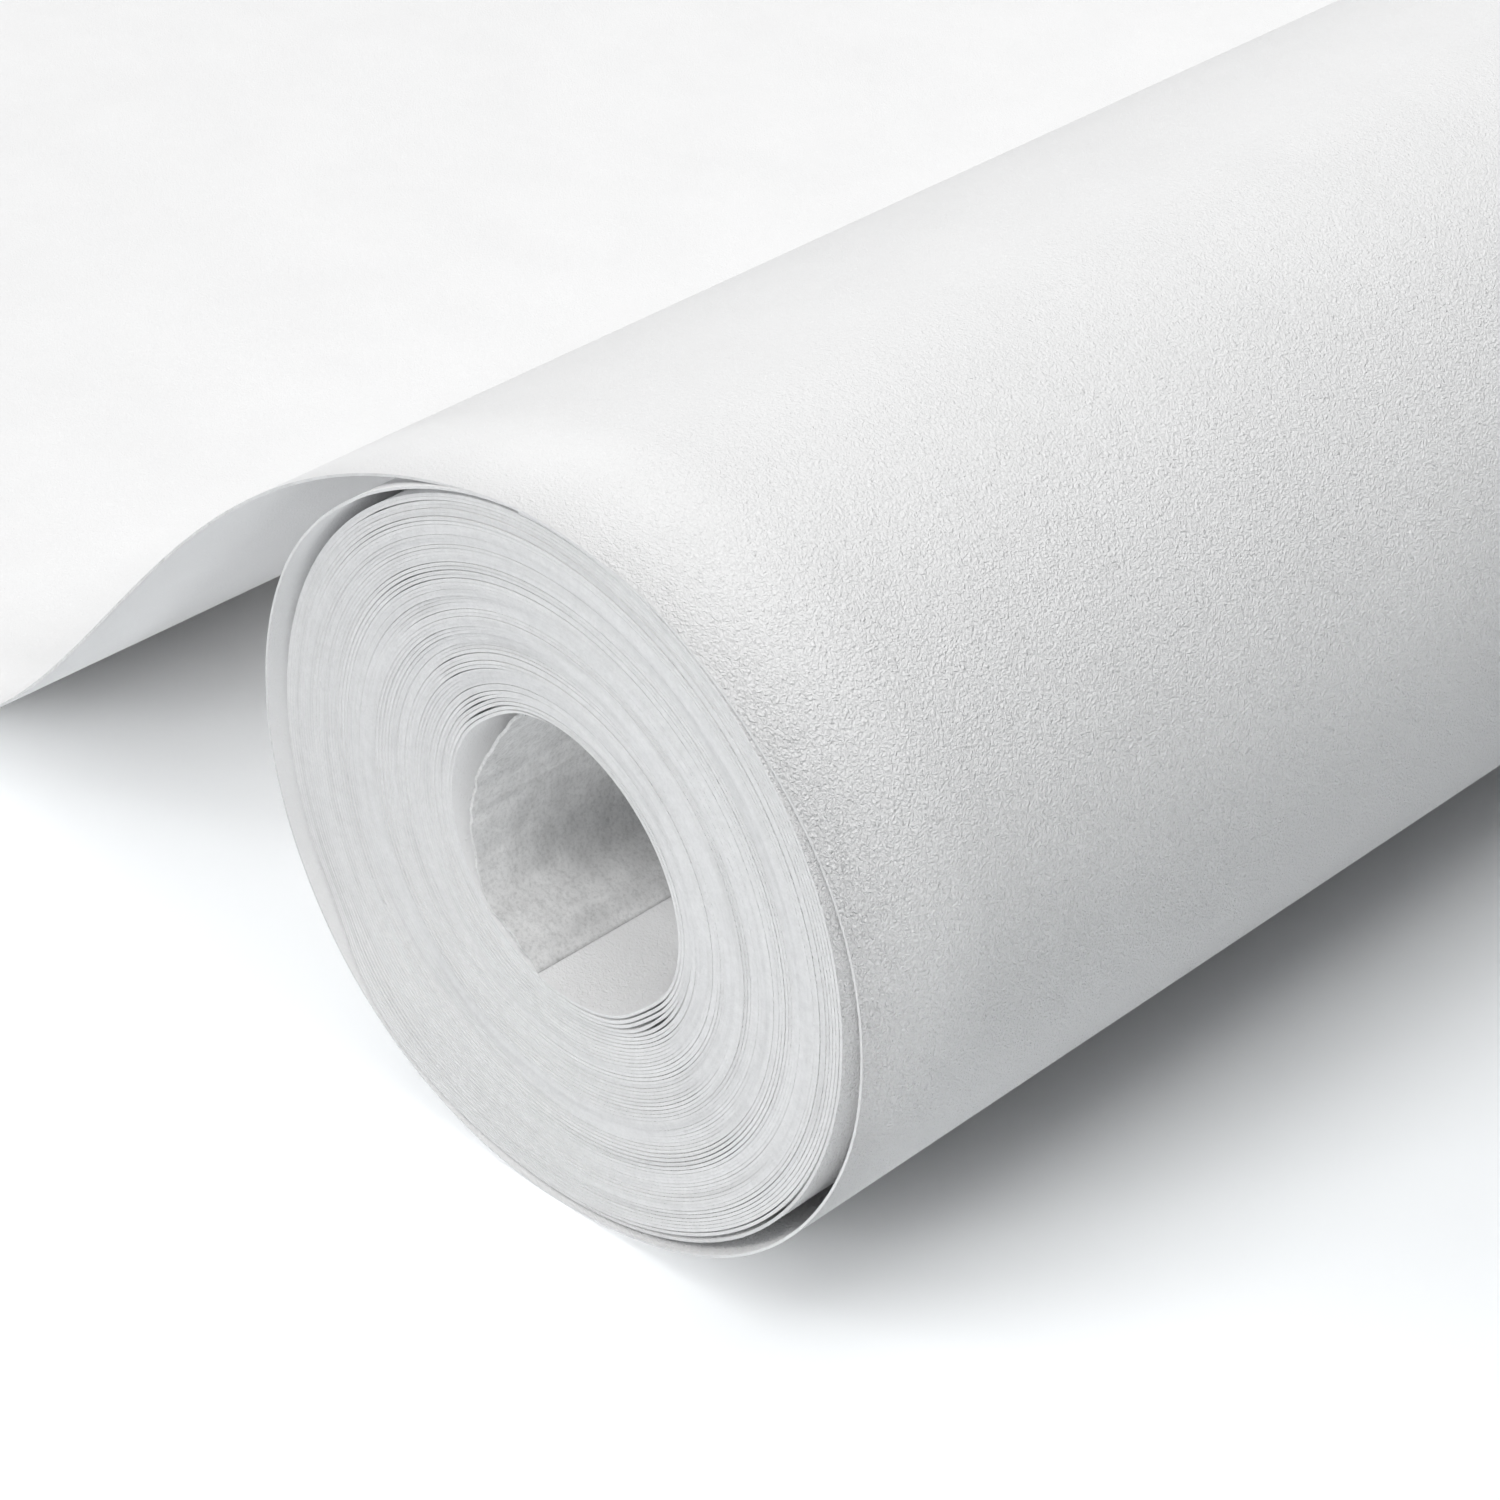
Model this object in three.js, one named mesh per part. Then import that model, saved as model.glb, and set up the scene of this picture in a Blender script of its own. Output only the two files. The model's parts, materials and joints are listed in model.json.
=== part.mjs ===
// Backdrop paper roll, lying on a flat surface: one long web of white paper, wound round an open
// bore with a strip of grey core ply in it, its outer turn loose and its free end paid out.
//
// Millimetres, +Z up. The roll's axis runs along Y and the near end faces -Y. The web leaves the
// top of the roll towards -X and lies on the floor. The origin is on the floor, under the middle
// of the roll. Angles are taken about the roll's axis, from +X towards +Z.

import * as THREE from 'three';

// ---------- driving dimensions ----------

const webWidth = 660;            // the paper's width, so the roll's length
const paper = 0.25;              // thickness of one layer of paper
const clearance = 0.3;           // left between pieces that touch

const boreRadius = 14;           // inside of the innermost turn
const packRadius = 34;           // outside of the tightly wound turns
const turnGroups = 6;            // nodes that the tight pack is split into
const dishDepth = 1.7;           // how much deeper the innermost turns sit than the outer ones

const plyThickness = 0.5;        // grey core ply, a strip down the left side of the bore
const plyLowerEdge = 254;        // degrees: the strip starts here ...
const plyLiftFrom = 225;         // ... leaves the wall here ...
const plyUpperEdge = 110;        // ... and ends here
const plyLift = 2.5;             // how far it buckles off the wall

const looseGap = 0.55;           // the loose turn's inner face, above the pack
const sagAngle = -38;            // degrees: middle of the slack at the lower right
const sagHalfWidth = 60;         // degrees
const sagDepth = 1.2;            // extra gap in the middle of the slack
const tuckAngle = -245;          // degrees: where the loose turn passes under the departing sheet

const skewSide = 2.0;            // the loose turn's end is skewed: deeper at the right than at the left
const skewTop = 0.7;             // and deeper at the top than at the bottom
const skewShift = -0.7;          // and proud of the pack on the whole

const leaveAngle = 98;           // degrees: where the web leaves the top of the roll
const leaveHandle = 53;          // straightness of the S curve at its top end
const landHandle = 47;           // and at its bottom end
const landX = -115;              // where the web meets the floor
const tailEndX = -320;           // cut edge of the free end

const degreesPerFacet = 5;
const sheetSegments = 26;

const axisHeight = packRadius + clearance + paper;
const looseRadius = packRadius + looseGap + paper / 2;

// ---------- materials ----------

const whitePaper = new THREE.MeshStandardMaterial({ color: '#f0f0f1', roughness: 0.95, metalness: 0 });
const greyPly = new THREE.MeshStandardMaterial({ color: '#b4b4b3', roughness: 1, metalness: 0 });

// ---------- helpers ----------

const radians = THREE.MathUtils.degToRad;
const noShift = () => 0;

function polar(radius, degrees) {
  return new THREE.Vector2(radius * Math.cos(radians(degrees)), radius * Math.sin(radians(degrees)));
}

// A raised-cosine bump: 1 at the middle, 0 from halfWidth outwards.
function bump(angle, middle, halfWidth) {
  const u = Math.min(Math.abs(angle - middle) / halfWidth, 1);
  return (1 + Math.cos(Math.PI * u)) / 2;
}

// Points of a curve given as a radius for each angle, from one angle to another.
function polarCurve(radiusAt, fromDegrees, toDegrees) {
  const count = Math.round(Math.abs(toDegrees - fromDegrees) / degreesPerFacet);
  return Array.from({ length: count + 1 }, (_, i) => {
    const angle = THREE.MathUtils.lerp(fromDegrees, toDegrees, i / count);
    return polar(radiusAt(angle), angle);
  });
}

// The outline of a ribbon of even thickness along a line of points, with mitred corners.
function ribbon(points, thickness) {
  const sideOf = (i) => {
    const along = points[i + 1].clone().sub(points[i]).normalize();
    return new THREE.Vector2(-along.y, along.x);
  };
  const left = [];
  const right = [];
  points.forEach((point, i) => {
    const before = sideOf(Math.max(i - 1, 0));
    const after = sideOf(Math.min(i, points.length - 2));
    const mitre = before.clone().add(after).normalize();
    mitre.multiplyScalar(thickness / 2 / mitre.dot(after));
    left.push(point.clone().add(mitre));
    right.push(point.clone().sub(mitre));
  });
  return new THREE.Shape([...left, ...right.reverse()]);
}

// A section drawn round the roll's axis, drawn out to the full width of the web. shiftAt says how
// far each point of the section is moved along the roll.
function acrossWeb(shape, shiftAt) {
  const geometry = new THREE.ExtrudeGeometry(shape, {
    depth: webWidth,
    curveSegments: 180 / degreesPerFacet,
    bevelEnabled: false,
  });
  geometry.rotateX(Math.PI / 2);
  geometry.translate(0, webWidth / 2, 0);
  const position = geometry.getAttribute('position');
  for (let i = 0; i < position.count; i += 1) {
    position.setY(i, position.getY(i) + shiftAt(position.getX(i), position.getZ(i)));
  }
  geometry.translate(0, 0, axisHeight);
  geometry.computeVertexNormals();
  return geometry;
}

const roll = new THREE.Group();

function add(name, geometry, material) {
  const mesh = new THREE.Mesh(geometry, material);
  mesh.name = name;
  roll.add(mesh);
}

// ---------- core ply ----------

function plyRadius(angle) {
  const wall = boreRadius - clearance - plyThickness / 2;
  const lifted = Math.max((plyLiftFrom - angle) / (plyLiftFrom - plyUpperEdge), 0);
  return wall - plyLift * Math.sin(Math.PI * lifted) ** 2;
}

function corePly() {
  const line = polarCurve(plyRadius, plyLowerEdge, plyUpperEdge);
  add('core_ply', acrossWeb(ribbon(line, plyThickness), () => dishDepth), greyPly);
}

// ---------- tightly wound turns ----------

function woundTurns() {
  const groupPitch = (packRadius - boreRadius + clearance) / turnGroups;
  for (let group = 0; group < turnGroups; group += 1) {
    const inner = boreRadius + group * groupPitch;
    const outer = inner + groupPitch - clearance;
    const shape = new THREE.Shape().absarc(0, 0, outer, 0, 2 * Math.PI);
    shape.holes.push(new THREE.Path().absarc(0, 0, inner, 0, 2 * Math.PI, true));
    const recess = dishDepth * (1 - group / (turnGroups - 1)) ** 2;
    add(`wound_turns_${group + 1}`, acrossWeb(shape, () => recess), whitePaper);
  }
}

// ---------- loose outer turn ----------

function looseTurnRadius(angle) {
  return looseRadius + sagDepth * bump(angle, sagAngle, sagHalfWidth);
}

function skewAt(x, z) {
  return skewShift + (skewSide * x + skewTop * z) / looseRadius;
}

// The turn is pressed flat against the floor underneath.
function looseTurn() {
  const line = polarCurve(looseTurnRadius, leaveAngle, tuckAngle);
  line.forEach((point) => {
    point.y = Math.max(point.y, paper / 2 - axisHeight);
  });
  add('outer_turn', acrossWeb(ribbon(line, paper), skewAt), whitePaper);
}

// ---------- sheet that leaves the roll, and its flat end ----------

function departingSheet() {
  const gapAngle = THREE.MathUtils.radToDeg(clearance / looseRadius);
  const start = polar(looseRadius, leaveAngle + gapAngle);
  const end = new THREE.Vector2(landX, paper / 2 - axisHeight);
  const startHandle = start.clone().add(polar(leaveHandle, leaveAngle + 90));
  const endHandle = end.clone().add(new THREE.Vector2(landHandle, 0));
  const curve = new THREE.CubicBezierCurve(start, startHandle, endHandle, end);
  add('departing_sheet', acrossWeb(ribbon(curve.getPoints(sheetSegments), paper), noShift), whitePaper);
}

function flatTail() {
  const height = paper / 2 - axisHeight;
  const line = [new THREE.Vector2(landX - clearance, height), new THREE.Vector2(tailEndX, height)];
  add('flat_tail', acrossWeb(ribbon(line, paper), noShift), whitePaper);
}

corePly();
woundTurns();
looseTurn();
departingSheet();
flatTail();

export default roll;
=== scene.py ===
import json
import math

import bpy
import numpy as np
from mathutils import Matrix, Vector


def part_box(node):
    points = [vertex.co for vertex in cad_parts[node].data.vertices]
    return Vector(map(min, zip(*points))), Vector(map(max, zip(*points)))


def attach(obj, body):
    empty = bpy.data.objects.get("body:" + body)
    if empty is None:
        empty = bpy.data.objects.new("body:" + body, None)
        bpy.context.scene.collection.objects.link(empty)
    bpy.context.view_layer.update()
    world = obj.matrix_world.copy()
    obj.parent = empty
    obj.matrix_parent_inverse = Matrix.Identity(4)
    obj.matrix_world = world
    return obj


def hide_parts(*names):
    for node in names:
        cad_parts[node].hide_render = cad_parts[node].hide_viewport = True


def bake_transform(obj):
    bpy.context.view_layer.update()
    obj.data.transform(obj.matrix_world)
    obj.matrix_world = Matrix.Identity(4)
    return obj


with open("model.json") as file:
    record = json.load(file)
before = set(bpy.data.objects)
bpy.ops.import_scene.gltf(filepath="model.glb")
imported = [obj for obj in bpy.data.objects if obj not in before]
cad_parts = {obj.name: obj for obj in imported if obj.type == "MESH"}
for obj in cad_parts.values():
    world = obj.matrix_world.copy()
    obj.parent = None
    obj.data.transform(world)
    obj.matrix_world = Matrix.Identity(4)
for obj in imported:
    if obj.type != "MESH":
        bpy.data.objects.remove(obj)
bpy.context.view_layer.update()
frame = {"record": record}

# Metres. The roll's axis runs along Y, the photographed end faces -Y, and the sheet is paid out
# towards -X. Angles are in degrees about the roll's axis, from +X towards +Z, and the web winds
# inwards clockwise seen from the near end.

MM = 0.001

# ---------- sizes, from the frame ----------

AXIS_HEIGHT = frame["record"]["behaviour"]["joints"][0]["pos_m"][2]
NEAR_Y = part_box("flat_tail")[0][1]
WEB_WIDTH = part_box("flat_tail")[1][1] - NEAR_Y
TAIL_END_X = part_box("flat_tail")[0][0]
LAND_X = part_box("departing_sheet")[0][0]
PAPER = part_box("flat_tail")[1][2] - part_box("flat_tail")[0][2]
PACK_RADIUS = (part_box("wound_turns_6")[1][0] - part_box("wound_turns_6")[0][0]) / 2

# ---------- sizes of what only the looks need ----------

TURNS = 62
BORE_RADIUS = 14.0 * MM
WOUND_THICKNESS = 0.285 * MM
DISH_DEPTH = 1.7 * MM
STEPS_PER_TURN = 144

LEAVE_ANGLE = 98.0
LEAVE_HANDLE = 53 * MM
LAND_HANDLE = 47 * MM
TUCK_ANGLE = -264.0
OUTER_END_BACK = 4.0
OUTER_END_RISE = 0.18 * MM
INNER_END_FEATHER = 0.06         # of a turn: the web's inner end is worn thin

PLY_THICKNESS = 0.3 * MM
PLY_CLEARANCE = 0.02 * MM
PLY_SET_BACK = 0.15 * MM         # how far its near edge lies behind the innermost turns'
PLY_SHORTER = 0.5 * MM           # than the web is wide

TAIL_SWELL = 0.5 * MM
DESCENT_SWELL = 0.25 * MM
SWELL_FADE = 0.03
SWELL_CLEAR_OF_ROLL = 0.02
SHEET_STEPS_ACROSS = 44
FLOOR_HALF_WIDTH = 6.0
FLOOR_DROP = 0.03 * MM

rng = np.random.default_rng(7)


# ---------- curves ----------

def smooth_through(angles, values, at):
    """A smooth curve through a few (angle, value) points; angles fall or rise evenly enough."""
    angles = np.array(angles, float)
    values = np.array(values, float)
    order = np.argsort(angles)
    angles, values = angles[order], values[order]
    slopes = np.gradient(values, angles)
    slopes[0] = slopes[-1] = 0.0
    at = np.clip(at, angles[0], angles[-1])
    i = np.clip(np.searchsorted(angles, at) - 1, 0, len(angles) - 2)
    h = angles[i + 1] - angles[i]
    t = (at - angles[i]) / h
    return (
        values[i] * (1 + 2 * t) * (1 - t) ** 2
        + h * slopes[i] * t * (1 - t) ** 2
        + values[i + 1] * t * t * (3 - 2 * t)
        + h * slopes[i + 1] * t * t * (t - 1)
    )


def bump(angle, middle, half_width):
    """1 at the middle, falling smoothly to 0 half_width away; angles wrap round."""
    away = (np.asarray(angle) - middle + 180) % 360 - 180
    u = np.minimum(np.abs(away) / half_width, 1)
    return (1 + np.cos(np.pi * u)) / 2


def polar(radius, degrees):
    a = np.radians(degrees)
    return np.stack([radius * np.cos(a), radius * np.sin(a)], axis=-1)


def bezier(p0, p1, p2, p3, count):
    t = np.linspace(0, 1, count)[:, None]
    return (1 - t) ** 3 * p0 + 3 * (1 - t) ** 2 * t * p1 + 3 * (1 - t) * t**2 * p2 + t**3 * p3


# ---------- meshes ----------

def ribbon(name, line, thickness, near, width, across=1, lift=None):
    """A sheet whose section follows line, points (x, z) about the roll's axis.

    The sheet's near edge is at near, one y for each point, and its far edge is width beyond. lift
    is how far the sheet stands off its section along its normal, for each point and each of
    across + 1 places across the width. The outer face is on the left of the line's direction.
    thickness is one number, or one for each point.
    """
    line = np.asarray(line)
    count = len(line)
    tangent = np.gradient(line, axis=0)
    tangent /= np.linalg.norm(tangent, axis=1)[:, None]
    normal = np.stack([-tangent[:, 1], tangent[:, 0]], axis=1)
    v = np.linspace(0, 1, across + 1)
    lift = np.zeros((count, across + 1)) if lift is None else lift
    y = np.asarray(near)[:, None] + v[None, :] * width

    def face(offset):
        x = line[:, None, 0] + normal[:, None, 0] * (offset + lift)
        z = line[:, None, 1] + normal[:, None, 1] * (offset + lift) + AXIS_HEIGHT
        return np.stack([x, y, z], axis=-1).reshape(-1, 3)

    half = np.broadcast_to(thickness, count)[:, None] / 2
    points = np.concatenate([face(half), face(-half)])
    row = across + 1
    i, j = np.meshgrid(np.arange(count - 1), np.arange(across), indexing="ij")
    a = (i * row + j).ravel()
    outer = np.stack([a, a + 1, a + row + 1, a + row], axis=1)
    b = a + count * row
    inner = np.stack([b, b + row, b + row + 1, b + 1], axis=1)

    def strip(edge, flip):
        first, second = edge[:-1], edge[1:]
        below_first, below_second = first + count * row, second + count * row
        quads = np.stack([first, second, below_second, below_first], axis=1)
        return quads[:, ::-1] if flip else quads

    along = np.arange(count) * row
    edges = np.concatenate([
        strip(along, False),
        strip(along + across, True),
        strip(np.arange(row), True),
        strip(np.arange(row) + (count - 1) * row, False),
    ])
    quads = np.concatenate([outer, inner, edges])

    mesh = bpy.data.meshes.new(name)
    mesh.vertices.add(len(points))
    mesh.vertices.foreach_set("co", points.astype(np.float32).ravel())
    mesh.loops.add(4 * len(quads))
    mesh.loops.foreach_set("vertex_index", quads.astype(np.int32).ravel())
    mesh.polygons.add(len(quads))
    mesh.polygons.foreach_set("loop_start", np.arange(0, 4 * len(quads), 4, dtype=np.int32))
    smooth = np.ones(len(quads), bool)
    smooth[len(outer) + len(inner):] = False
    mesh.polygons.foreach_set("use_smooth", smooth)
    mesh.polygons.foreach_set("material_index", (~smooth).astype(np.int32))
    mesh.update(calc_edges=True)
    mesh.validate()
    obj = bpy.data.objects.new(name, mesh)
    bpy.context.scene.collection.objects.link(obj)
    return obj


# ---------- materials ----------

class Nodes:
    """A small helper that adds nodes to a material and links them."""

    def __init__(self, name):
        self.material = bpy.data.materials.new(name)
        self.material.use_nodes = True
        self.tree = self.material.node_tree
        self.shader = self.tree.nodes["Principled BSDF"]
        self.coordinates = self.add("ShaderNodeTexCoord").outputs["Object"]

    def add(self, kind, **settings):
        node = self.tree.nodes.new(kind)
        for key, value in settings.items():
            setattr(node, key, value)
        return node

    def link(self, output, target):
        self.tree.links.new(output, target)

    def noise(self, scale, detail=2.0, roughness=0.5, distortion=0.0, kind="FBM", at=None):
        node = self.add("ShaderNodeTexNoise", noise_type=kind)
        self.link(at or self.coordinates, node.inputs["Vector"])
        node.inputs["Scale"].default_value = scale
        node.inputs["Detail"].default_value = detail
        node.inputs["Roughness"].default_value = roughness
        node.inputs["Distortion"].default_value = distortion
        return node.outputs["Fac"]

    def ramp(self, fac, stops):
        node = self.add("ShaderNodeValToRGB")
        ramp = node.color_ramp
        ramp.elements[0].position, ramp.elements[0].color = stops[0]
        ramp.elements[1].position, ramp.elements[1].color = stops[-1]
        for position, colour in stops[1:-1]:
            ramp.elements.new(position).color = colour
        self.link(fac, node.inputs["Fac"])
        return node.outputs["Color"]

    def remap(self, value, low, high, to_low, to_high):
        node = self.add("ShaderNodeMapRange")
        self.link(value, node.inputs["Value"])
        for key, number in zip(("From Min", "From Max", "To Min", "To Max"),
                               (low, high, to_low, to_high)):
            node.inputs[key].default_value = number
        return node.outputs["Result"]

    def split(self):
        """The X and Z of the place on the object, Z from the roll's axis."""
        node = self.add("ShaderNodeSeparateXYZ")
        self.link(self.coordinates, node.inputs[0])
        return node.outputs["X"], self.maths("SUBTRACT", node.outputs["Z"], AXIS_HEIGHT)

    def join(self, x, y, z):
        node = self.add("ShaderNodeCombineXYZ")
        for value, socket in zip((x, y, z), node.inputs):
            self.link(value, socket)
        return node.outputs["Vector"]

    def mix(self, fac, a, b, blend="MIX"):
        node = self.add("ShaderNodeMix", data_type="RGBA", blend_type=blend)
        if isinstance(fac, float):
            node.inputs["Factor"].default_value = fac
        else:
            self.link(fac, node.inputs["Factor"])
        for value, key in ((a, 6), (b, 7)):
            if isinstance(value, tuple):
                node.inputs[key].default_value = value
            else:
                self.link(value, node.inputs[key])
        return node.outputs[2]

    def maths(self, operation, a, b):
        node = self.add("ShaderNodeMath", operation=operation)
        for value, socket in ((a, node.inputs[0]), (b, node.inputs[1])):
            if isinstance(value, (int, float)):
                socket.default_value = value
            else:
                self.link(value, socket)
        return node.outputs["Value"]

    def bump(self, height, distance, strength=1.0, over=None):
        node = self.add("ShaderNodeBump")
        node.inputs["Strength"].default_value = strength
        node.inputs["Distance"].default_value = distance
        self.link(height, node.inputs["Height"])
        if over is not None:
            self.link(over, node.inputs["Normal"])
        return node.outputs["Normal"]


COOL = (1.0, 1.0, 1.006)
RINGS_PER_METRE = 850


def grey(value, tint=(1.0, 1.0, 1.0)):
    return (value * tint[0], value * tint[1], value * tint[2], 1.0)


def paper_material():
    """White uncoated paper: a felt of short fibres, fine tooth and faint clouding."""
    n = Nodes("white_paper")
    fibres = n.noise(2300, detail=3.0, roughness=0.65, distortion=0.8, kind="RIDGED_MULTIFRACTAL")
    tooth = n.noise(3800, detail=2, roughness=0.6, distortion=0.6)
    cloud = n.noise(60, detail=3, roughness=0.6)
    colour = n.ramp(cloud, [(0.3, grey(0.845, COOL)), (0.7, grey(0.87, COOL))])
    speck = n.remap(fibres, 0.0, 1.3, 0.94, 1.0)
    dirt = n.add("ShaderNodeCombineColor")
    for key in ("Red", "Green", "Blue"):
        n.link(speck, dirt.inputs[key])
    n.link(n.mix(1.0, colour, dirt.outputs["Color"], "MULTIPLY"), n.shader.inputs["Base Color"])
    n.link(n.remap(tooth, 0.3, 0.7, 0.84, 0.98), n.shader.inputs["Roughness"])
    # The felt stands up most on the roll's front and least on the sheet that has been paid out.
    x, _ = n.split()
    raised = n.remap(x, -6 * MM, 33 * MM, 0.32, 1.7)
    height = n.maths("MULTIPLY", n.maths("ADD", n.maths("MULTIPLY", fibres, 0.6), tooth), raised)
    n.link(n.bump(height, 0.21 * MM), n.shader.inputs["Normal"])
    n.shader.inputs["Specular IOR Level"].default_value = 0.25
    return n.material


def cut_edge_material():
    """The web's cut edge: duller than its faces, partly its own tone where the fibres lie open,
    partly painted shade for the tiny gaps between the turns.
    """
    n = Nodes("paper_cut_edge")
    lint = n.noise(2600, detail=3, roughness=0.7)
    turns = n.noise(900, detail=2)
    # The base tone sits below the faces': partly the edge's own duller tone, partly painted shade
    # for the tiny gaps between the turns.
    colour = n.ramp(turns, [(0.3, grey(0.79, COOL)), (0.7, grey(0.84, COOL))])
    colour = n.mix(1.0, colour, n.ramp(lint, [(0.25, grey(0.93)), (0.6, grey(1.0))]), "MULTIPLY")
    # Painted shade: the edge is a little darker on the side the sheet leaves from, where less
    # light reaches the end.
    x, z = n.split()
    side = n.remap(x, -34 * MM, 6 * MM, 0.0, 1.0)
    painted_side_shade = n.ramp(side, [(0.0, grey(0.89)), (1.0, grey(0.99))])
    colour = n.mix(1.0, colour, painted_side_shade, "MULTIPLY")
    # Painted light and shade in rings a few turns wide, standing in for the shading of the end's
    # slight steps where the web was wound a little tighter or looser.
    squares = n.maths("ADD", n.maths("MULTIPLY", x, x), n.maths("MULTIPLY", z, z))
    radius = n.maths("SQRT", squares, 0)
    rings = n.join(n.maths("MULTIPLY", radius, RINGS_PER_METRE), n.maths("DIVIDE", x, radius),
                   n.maths("DIVIDE", z, radius))
    ring_shade_noise = n.noise(1.0, detail=3, roughness=0.65, at=rings)
    painted_ring_shade = n.ramp(ring_shade_noise, [(0.34, grey(0.88)), (0.5, grey(0.97)), (0.62, grey(1.0))])
    n.link(n.mix(1.0, colour, painted_ring_shade, "MULTIPLY"), n.shader.inputs["Base Color"])
    n.link(n.remap(lint, 0.3, 0.7, 0.9, 1.0), n.shader.inputs["Roughness"])
    n.link(n.bump(lint, 0.06 * MM), n.shader.inputs["Normal"])
    n.shader.inputs["Specular IOR Level"].default_value = 0.15
    return n.material


def ply_material():
    """Grey recycled ply: blotches, fine dark and light fibres, and a soft rough surface."""
    n = Nodes("core_ply")
    blotch = n.noise(420, detail=4, roughness=0.62)
    fleck = n.noise(2600, detail=3, roughness=0.7)
    colour = n.ramp(blotch, [(0.32, grey(0.62)), (0.5, grey(0.69)), (0.68, grey(0.76))])
    flecks = n.ramp(fleck, [(0.30, grey(0.80)), (0.55, grey(1.0))])
    n.link(n.mix(1.0, colour, flecks, "MULTIPLY"), n.shader.inputs["Base Color"])
    n.link(n.remap(blotch, 0.3, 0.7, 0.9, 1.0), n.shader.inputs["Roughness"])
    height = n.maths("ADD", blotch, n.maths("MULTIPLY", fleck, 0.35))
    n.link(n.bump(height, 0.12 * MM), n.shader.inputs["Normal"])
    n.shader.inputs["Specular IOR Level"].default_value = 0.2
    return n.material


def floor_material():
    n = Nodes("floor")
    n.link(n.ramp(n.noise(6, detail=2), [(0.3, grey(0.955)), (0.7, grey(0.965))]),
           n.shader.inputs["Base Color"])
    n.shader.inputs["Roughness"].default_value = 0.9
    n.shader.inputs["Specular IOR Level"].default_value = 0.1
    return n.material


WHITE_PAPER = paper_material()
CUT_EDGE = cut_edge_material()
GREY_PLY = ply_material()


def dress(obj, material, body=None):
    obj.data.materials.append(material)
    if material is WHITE_PAPER:
        obj.data.materials.append(CUT_EDGE)
    if body:
        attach(obj, body)


# ---------- tightly wound turns ----------

# Where the pack is a little open: angle, half width, turn (from the bore) just outside the slit,
# opening, and how many turns inwards take it up.
SLITS = (
    (127, 24, 2, 0.15 * MM, 20),
    (131, 16, 4, 0.08 * MM, 6),
    (130, 18, 5, 0.09 * MM, 6),
    (150, 28, 1, 0.06 * MM, 20),
    (-52, 62, 1, 0.12 * MM, 20),
    (-45, 34, 2, 0.10 * MM, 20),
    (-52, 20, 3, 0.20 * MM, 20),
    (-42, 22, 4, 0.20 * MM, 20),
    (-28, 32, 5, 0.12 * MM, 20),
    (-10, 50, 7, 0.06 * MM, 6),
    (0, 45, 9, 0.06 * MM, 6),
    (124, 40, 13, 0.08 * MM, 8),
    (126, 30, 30, 0.06 * MM, 6),
    (121, 16, 60, 0.10 * MM, 5),
)

# The outermost two turns stand a little off the rest here: angle, half width and distance.
SLACK = (-52, 42, 0.42 * MM)

# How far the pack's outermost turn lies behind the pack's end plane: angle and distance in mm.
# Turns further in follow it less and less, down to none at STEADY_RADIUS.
PACK_SKEW = (
    (112, 0.0), (60, 0.16), (30, 0.16), (0, -0.05), (-40, -0.15), (-60, -0.38), (-80, -0.78),
    (-100, -1.2), (-112, -1.6), (-128, -1.95), (-138, -1.6), (-146, -0.9), (-160, -0.68),
    (-180, -0.58), (-200, -0.48), (-225, -0.35), (-248, 0.0),
)
STEADY_RADIUS = 26 * MM
SKEW_STARTS = LEAVE_ANGLE + 14   # the first angle of PACK_SKEW, from which a turn is counted


def wander(count, reach, step):
    """A smooth random sequence, one value a turn, with about reach turns between its swings."""
    raw = rng.normal(size=count + 8 * reach)
    kernel = np.exp(-0.5 * (np.arange(-3 * reach, 3 * reach + 1) / reach) ** 2)
    smooth = np.convolve(raw, kernel / np.sqrt((kernel**2).sum()), mode="same")
    return step * smooth[4 * reach: 4 * reach + count]


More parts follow.
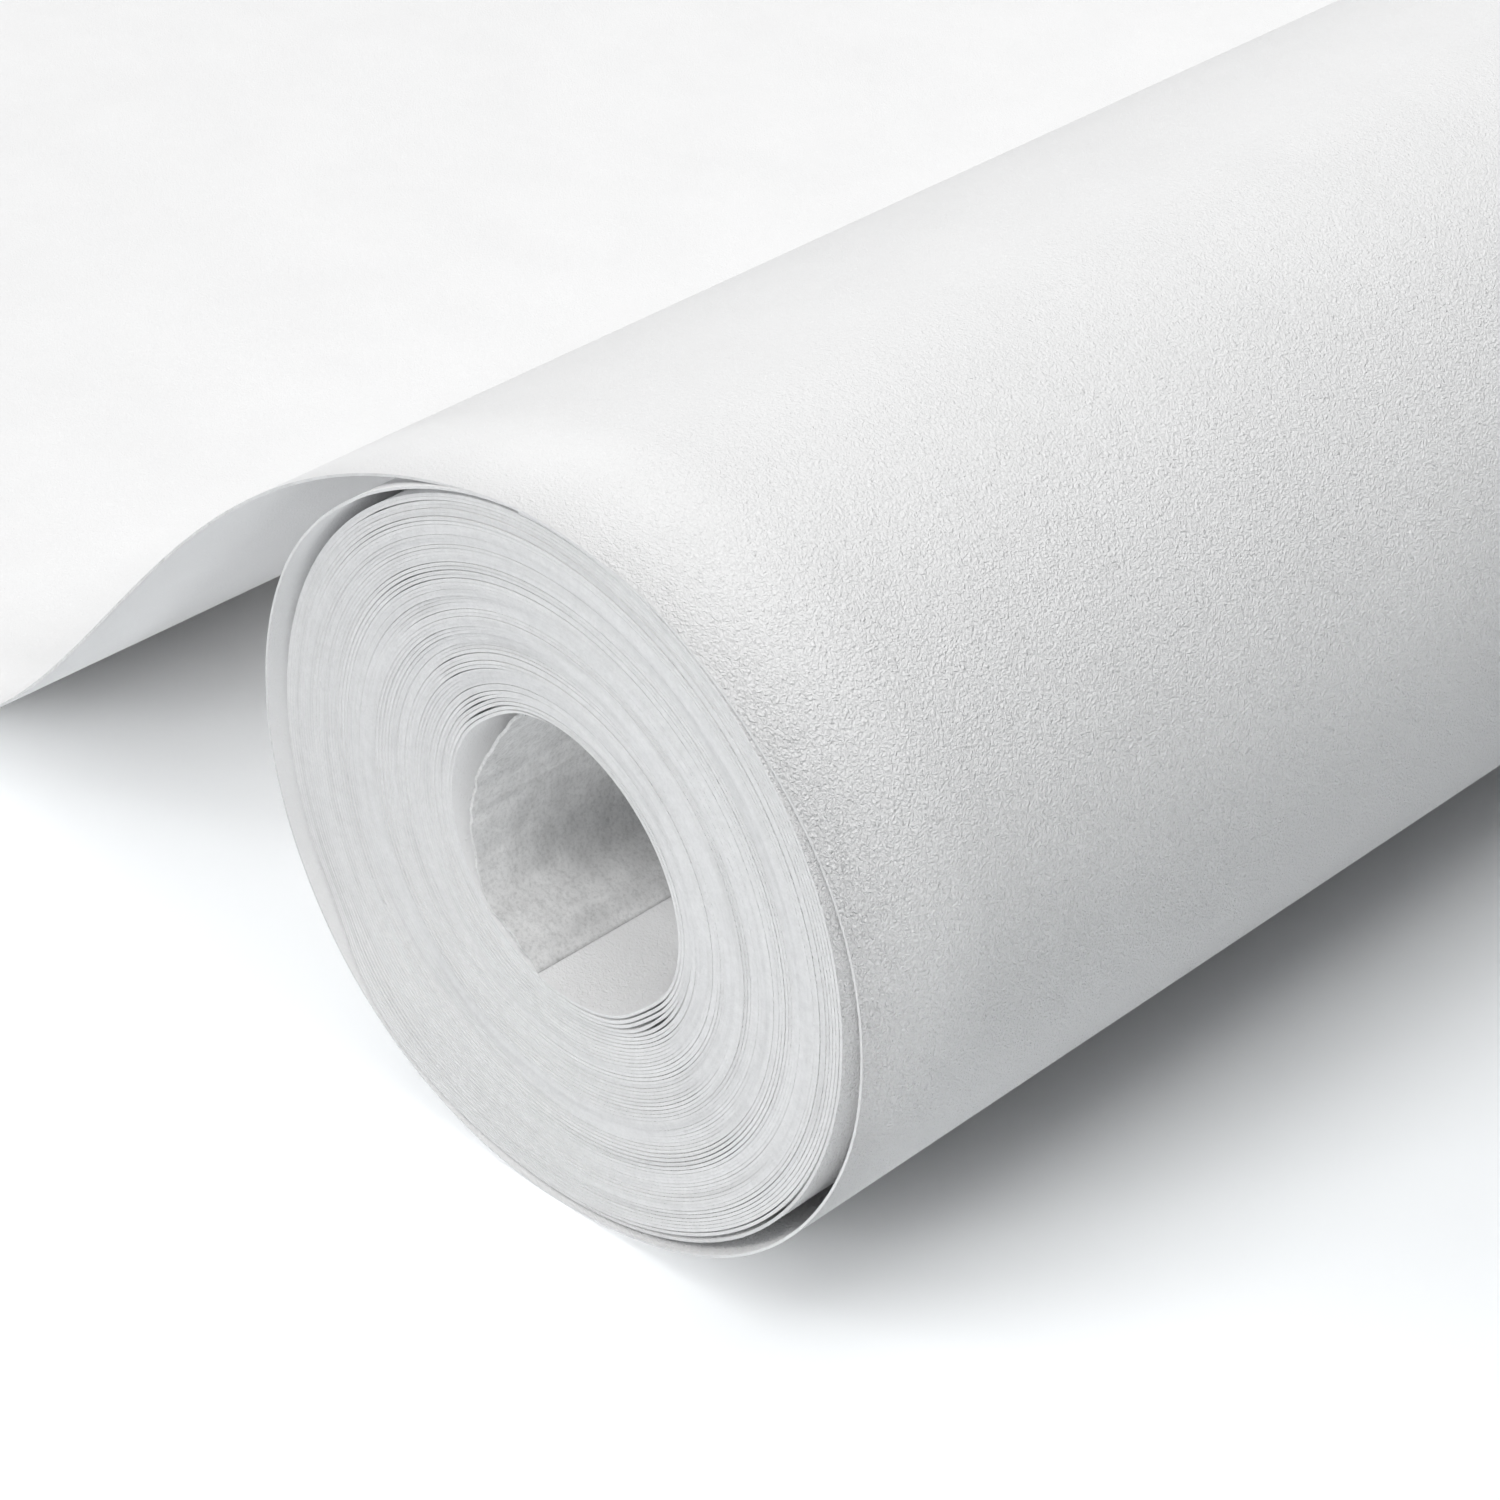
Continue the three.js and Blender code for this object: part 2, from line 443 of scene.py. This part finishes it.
def wound_spiral():
    """The whole pack as one spiral from the bore outwards: its line and its near edge."""
    gaps = 0.02 + rng.exponential(1.0, TURNS)
    gaps[:4] += 1.5
    outermost = PACK_RADIUS + OUTER_END_RISE - WOUND_THICKNESS / 2
    innermost = BORE_RADIUS + WOUND_THICKNESS / 2
    spare = outermost - innermost - TURNS * WOUND_THICKNESS
    pitch = WOUND_THICKNESS + spare * gaps / gaps.sum()
    edges = innermost + np.concatenate([[0], np.cumsum(pitch)])

    turn = np.linspace(0, TURNS, TURNS * STEPS_PER_TURN + 1)
    angle = LEAVE_ANGLE - OUTER_END_BACK + 360 * turn
    radius = np.interp(turn, np.arange(TURNS + 1), edges)

    def turns_passed(middle):
        """Which turn from the bore, 0 first, counted at middle and stepping on its far side."""
        first = np.ceil((angle[0] - middle) / 360)
        return np.floor((angle - middle + 180) / 360) - first

    for middle, half_width, outside, opening, taken_up in SLITS:
        count = turns_passed(middle)
        inwards = np.clip((outside - count) / taken_up, 0, 1)
        share = np.where(count < outside, 1 - np.maximum(inwards - 1 / taken_up, 0), 0)
        radius = radius - opening * share * bump(angle, middle, half_width)
    middle, half_width, distance = SLACK
    loosened = np.clip((turns_passed(middle) - (TURNS - 2.5)) / 1.5, 0, 1)
    radius = radius + distance * loosened * bump(angle, middle, half_width)

    facing = 1 - 0.35 * bump(angle, 45, 110)
    depth = DISH_DEPTH * facing * (1 - (radius - BORE_RADIUS) / (PACK_RADIUS - BORE_RADIUS)) ** 2
    outward = np.clip((radius - STEADY_RADIUS) / (PACK_RADIUS - STEADY_RADIUS), 0, 1)
    place = (angle - SKEW_STARTS) % 360 - 360 + SKEW_STARTS
    telescoped = smooth_through(*zip(*PACK_SKEW), place) * MM * outward**2
    index = np.arange(TURNS + 1)
    a = np.radians(angle)
    steady = wander(TURNS + 1, 2, 0.09 * MM) + rng.normal(0, 0.03 * MM, TURNS + 1)
    swing = [wander(TURNS + 1, 2, 0.05 * MM) for _ in range(4)]
    near = NEAR_Y + depth + telescoped + np.interp(turn, index, steady)
    for wave, (order, phase) in zip(swing, ((1, 0.0), (1, 1.6), (2, 0.4), (3, 2.1))):
        near = near + np.interp(turn, index, wave) * np.sin(order * a + phase)
    return turn, angle, radius, near


def make_turns(turn, angle, radius, near):
    line = polar(radius, angle)
    groups = 6
    for group in range(groups):
        low = group * TURNS / groups
        high = (group + 1) * TURNS / groups
        half_step = 0.5 / STEPS_PER_TURN
        inside = np.flatnonzero((turn > low - half_step) & (turn < high + half_step))
        piece_line, piece_near = line[inside], near[inside]
        thickness = WOUND_THICKNESS * np.clip(turn[inside] / INNER_END_FEATHER, 0.1, 1)
        piece = ribbon(f"paper_turns_{group + 1}", piece_line, thickness, piece_near, WEB_WIDTH)
        dress(piece, WHITE_PAPER, "wound_pack")
        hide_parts(f"wound_turns_{group + 1}")


# ---------- core ply ----------

# How far the ply buckles inwards off the innermost turn: angle and distance in mm.
PLY_BUCKLE = (
    (-135, 0.0), (-142, 0.15), (-150, 0.6), (-160, 1.2), (-180, 2.0), (-205, 2.45),
    (-220, 2.15), (-235, 1.35), (-250, 0.2),
)
PLY_TOP, PLY_CREASE, PLY_END = -250, -135, -106
PLY_FEATHER = 9                  # degrees over which its torn lower edge thins to nothing


def make_ply(wound_angle, wound_radius):
    """A strip down the bore's left side: a cut top edge, a buckle, a crease, a torn lower edge."""
    angle = np.arange(PLY_END, PLY_TOP - 0.1, -1.5)
    a = np.radians(angle)
    torn = np.clip((PLY_END - angle) / PLY_FEATHER, 0.08, 1)
    thickness = PLY_THICKNESS * torn
    wall = np.interp(angle + 360, wound_angle, wound_radius) - WOUND_THICKNESS / 2 - PLY_CLEARANCE
    buckled = smooth_through(*zip(*PLY_BUCKLE), angle) * MM
    half = math.radians(PLY_END - PLY_CREASE) / 2
    flat = BORE_RADIUS * (1 - math.cos(half) / np.cos(a - math.radians(PLY_END) + half))
    buckled = np.where(angle > PLY_CREASE, flat, buckled)
    ripple = 0.03 * MM * (np.sin(9 * a + 1) + np.sin(14 * a)) * np.clip(buckled / MM, 0, 1)
    radius = wall - thickness / 2 - buckled + ripple
    tear = 0.08 * MM * np.sin(11 * a) + 0.07 * MM * np.sin(23 * a + 2) + 0.06 * MM * np.sin(41 * a)
    tear = tear + rng.normal(0, 0.025 * MM, len(a))
    near = NEAR_Y + DISH_DEPTH + PLY_SET_BACK + tear
    line = polar(radius, angle)
    piece = ribbon("core_ply_lining", line, thickness, near, WEB_WIDTH - PLY_SHORTER)
    dress(piece, GREY_PLY, "wound_pack")
    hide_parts("core_ply")


# ---------- loose outer turn, departing sheet and tail ----------

# The loose turn's inner face, above the pack: angle and gap in mm.
STAND_OFF = (
    (98, 0.24), (80, 0.20), (60, 0.26), (45, 0.30), (30, 0.38), (20, 0.5), (0, 1.0), (-20, 1.6),
    (-40, 1.9), (-50, 1.7), (-60, 1.25), (-70, 0.75), (-80, 0.4), (-90, 0.3), (-110, 0.3),
    (-140, 0.45), (-160, 0.6), (-180, 0.8), (-200, 1.0), (-212, 1.12), (-222, 1.08),
    (-232, 0.85), (-242, 0.5), (-250, 0.3), (-260, 0.2), (-264, 0.2),
)

# How far the loose turn's near edge lies behind the pack's end: angle and distance in mm.
SKEW = (
    (98, 0.0), (80, 0.0), (70, 0.25), (60, 0.25), (50, 0.35), (40, 0.6), (30, 0.95), (20, 1.15),
    (0, 1.08), (-22, 0.8), (-40, 0.0), (-50, -0.3), (-60, -0.6), (-78, -0.95), (-98, -1.45),
    (-120, -1.8), (-130, -1.9), (-160, -1.87), (-185, -1.85), (-205, -1.85), (-216, -1.75),
    (-224, -1.4), (-232, -0.9), (-242, -0.5), (-250, -0.2), (-262, 0.0),
)


def make_loose_sheet():
    angle = np.arange(LEAVE_ANGLE, TUCK_ANGLE - 0.1, -2.0)
    gap = smooth_through(*zip(*STAND_OFF), angle) * MM
    ring = polar(PACK_RADIUS + gap + PAPER / 2, angle)
    floor = PAPER / 2 - AXIS_HEIGHT
    ring[:, 1] = np.maximum(ring[:, 1], floor)

    start = ring[0]
    leaving = polar(LEAVE_HANDLE, LEAVE_ANGLE + 90)
    land = np.array([LAND_X, floor])
    descent = bezier(land, land + [LAND_HANDLE, 0], start + leaving, start, 72)
    flat_x = np.linspace(TAIL_END_X, LAND_X, 60)
    flat = np.stack([flat_x, np.full_like(flat_x, floor)], axis=1)
    line = np.concatenate([flat[:-1], descent[:-1], ring])

    count_before = len(flat) - 1 + len(descent) - 1
    near = np.full(len(line), NEAR_Y)
    near[count_before:] += smooth_through(*zip(*SKEW), angle) * MM

    across = SHEET_STEPS_ACROSS
    v = np.linspace(0, 1, across + 1)[None, :]
    run = np.concatenate([[0], np.cumsum(np.linalg.norm(np.diff(line, axis=0), axis=1))])[:, None]
    # Gentle buckles: only upwards where the sheet lies on the floor, and none under the roll.
    swell = np.sin(9 * run / 0.3 + 5 * v + 1.0) * np.sin(7 * v + 2.0 + 4 * run)
    x = line[:, :1]
    on_floor = np.clip((LAND_X - x) / SWELL_FADE, 0, 1)
    off_roll = np.clip((-x - SWELL_CLEAR_OF_ROLL) / SWELL_FADE, 0, 1)
    in_air = off_roll * np.clip((x - LAND_X) / SWELL_FADE, 0, 1)
    ends = np.sin(np.pi * np.clip(run / SWELL_FADE, 0, 0.5))
    lift = TAIL_SWELL * (swell + 1) * on_floor * ends + DESCENT_SWELL * swell * in_air
    lift[count_before:] = 0

    piece = ribbon("paper_sheet", line, PAPER, near, WEB_WIDTH, across=across, lift=lift)
    dress(piece, WHITE_PAPER)
    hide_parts("outer_turn", "departing_sheet", "flat_tail")
    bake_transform(piece)


turn, wound_angle, wound_radius, wound_near = wound_spiral()
make_turns(turn, wound_angle, wound_radius, wound_near)
make_ply(wound_angle, wound_radius)
make_loose_sheet()

# ---------- floor, light and camera ----------

def make_floor():
    mesh = bpy.data.meshes.new("floor")
    half = FLOOR_HALF_WIDTH
    below = -FLOOR_DROP
    round_it = ((-half, -half), (half, -half), (half, half), (-half, half))
    mesh.from_pydata([(x, y, below) for x, y in round_it], [], [(0, 1, 2, 3)])
    floor = bpy.data.objects.new("floor", mesh)
    floor.data.materials.append(floor_material())
    bpy.context.scene.collection.objects.link(floor)


# Broad, distant soft lights on the roll: azimuth and elevation they shine from, how wide they
# look, strength.
ROLL_LIGHTS = (
    ("key", -2, 53, 24, 0.50),
    ("overhead", 0, 88, 40, 0.43),
    ("high_right", 70, 50, 30, 0.13),
    ("back_left", -120, 72, 30, 0.10),
    ("back_right", 150, 72, 30, 0.08),
)

# The floor has its own: an overhead, and a low ring in front as white cards round a table top
# would give, which fills the shadows that the roll and the sheet throw.
FLOOR_LIGHTS = (
    ("floor_overhead", 0, 88, 50, 0.50),
    ("floor_high", -20, 55, 26, 0.12),
    ("floor_behind", 150, 60, 30, 0.08),
    ("floor_left", -120, 25, 24, 0.16),
    ("low_left", -55, 12, 20, 0.60),
    ("low_front_left", -35, 12, 20, 0.60),
    ("low_front", -13, 11, 20, 0.78),
    ("low_right", 10, 12, 20, 0.15),
)

ROLL_LIGHT_COLOUR = (1.0, 0.998, 0.992)
FLOOR_LIGHT_COLOUR = (0.965, 0.987, 1.0)

# The little light that comes through the sheet to the floor under it.
GLOW_WIDTH, GLOW_LENGTH, GLOW_HEIGHT, GLOW_POWER = 0.034, 0.62, 0.02, 0.026
GLOW_X, GLOW_Y = -0.056, 0.0


def receivers(name, objects):
    """A collection of the objects that a light reaches."""
    collection = bpy.data.collections.new(name)
    for obj in objects:
        collection.objects.link(obj)
    return collection


def soft_light(receiver, colour, name, azimuth, elevation, width, strength):
    light = bpy.data.lights.new(name, "SUN")
    light.angle = math.radians(width)
    light.energy = math.pi * strength
    light.color = colour
    obj = bpy.data.objects.new(name, light)
    a, e = math.radians(azimuth), math.radians(elevation)
    back = Vector((math.sin(a) * math.cos(e), -math.cos(a) * math.cos(e), math.sin(e)))
    obj.location = back * 2
    obj.rotation_euler = back.to_track_quat("Z", "Y").to_euler()
    obj.light_linking.receiver_collection = receiver
    bpy.context.scene.collection.objects.link(obj)


def glow_under_sheet(receiver):
    light = bpy.data.lights.new("glow_under_sheet", "AREA")
    light.shape = "RECTANGLE"
    light.size, light.size_y = GLOW_WIDTH, GLOW_LENGTH
    light.energy = GLOW_POWER
    obj = bpy.data.objects.new("glow_under_sheet", light)
    obj.location = (GLOW_X, GLOW_Y, GLOW_HEIGHT)
    obj.visible_camera = False
    obj.light_linking.receiver_collection = receiver
    bpy.context.scene.collection.objects.link(obj)


def make_world():
    world = bpy.data.worlds.new("studio")
    world.use_nodes = True
    background = world.node_tree.nodes["Background"]
    background.inputs["Color"].default_value = (0.86, 0.93, 1.0, 1.0)
    background.inputs["Strength"].default_value = 0.04
    bpy.context.scene.world = world


# The camera stands where the photograph's perspective puts it.
CAMERA_AZIMUTH = 45.41
CAMERA_ELEVATION = 34.43
FOCAL_IN_WIDTHS = 2.573
LOOSE_RADIUS = 36.36 * MM
AIM_RIGHT, AIM_UP, AIM_DEEP = -0.052, -0.032, 8.844


def make_camera():
    a, e = math.radians(CAMERA_AZIMUTH), math.radians(CAMERA_ELEVATION)
    back = Vector((math.sin(a) * math.cos(e), -math.cos(a) * math.cos(e), math.sin(e)))
    right = Vector((math.cos(a), math.sin(a), 0))
    up = back.cross(right)
    end_centre = Vector((0, NEAR_Y, AXIS_HEIGHT))
    deep = AIM_DEEP * LOOSE_RADIUS
    data = bpy.data.cameras.new("camera")
    data.sensor_width = 36
    data.lens = 36 * FOCAL_IN_WIDTHS
    data.clip_start = 0.01
    camera = bpy.data.objects.new("camera", data)
    place = end_centre - right * AIM_RIGHT * deep - up * AIM_UP * deep + back * deep
    orientation = Matrix((right, up, back)).transposed().to_4x4()
    camera.matrix_world = Matrix.Translation(place) @ orientation
    bpy.context.scene.collection.objects.link(camera)
    bpy.context.scene.camera = camera


make_floor()
make_world()
floor = bpy.data.objects["floor"]
only_floor = receivers("only_floor", [floor])
paper_pieces = [obj for obj in bpy.data.objects if obj.type == "MESH" and obj != floor]
only_roll = receivers("only_roll", paper_pieces)
for light in ROLL_LIGHTS:
    soft_light(only_roll, ROLL_LIGHT_COLOUR, *light)
for light in FLOOR_LIGHTS:
    soft_light(only_floor, FLOOR_LIGHT_COLOUR, *light)
glow_under_sheet(only_floor)
make_camera()
bpy.context.scene.view_settings.view_transform = "Standard"
